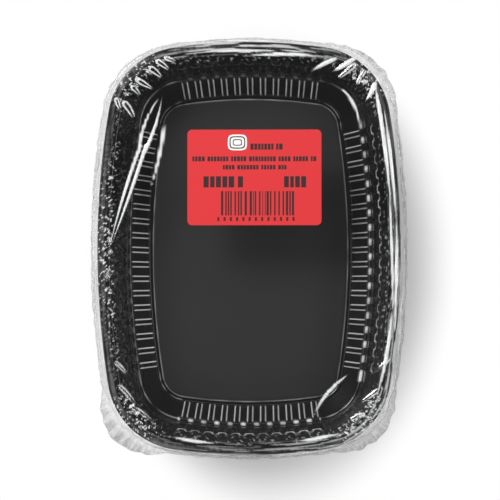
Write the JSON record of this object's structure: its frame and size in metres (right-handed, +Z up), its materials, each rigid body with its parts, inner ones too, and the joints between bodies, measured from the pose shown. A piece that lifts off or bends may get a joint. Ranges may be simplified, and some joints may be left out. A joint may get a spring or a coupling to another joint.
{
  "type": "wrapped pack of nested food trays",
  "caption": "Clear film-wrapped pack of nested black plastic food trays with rounded corners, fluted inner walls and a red label on top.",
  "frame": {"origin": "middle of the flat underside of the pack", "axes": "+X across the trays, +Y along the trays, +Z up through the open side of the trays"},
  "size_m": [0.1356, 0.1806, 0.0578],
  "materials": {
    "tray_plastic": "thermoformed glossy black sheet",
    "clear_film": "clear stretched wrapping film",
    "label_paper": "printed red paper label"
  },
  "bodies": {
    "root": {"tray_01": "tray_plastic", "tray_02": "tray_plastic", "tray_03": "tray_plastic", "tray_04": "tray_plastic", "tray_05": "tray_plastic", "tray_06": "tray_plastic", "tray_07": "tray_plastic", "tray_08": "tray_plastic", "tray_09": "tray_plastic", "tray_10": "tray_plastic", "film_wrap": "clear_film", "label": "label_paper"}
  },
  "joints": []
}
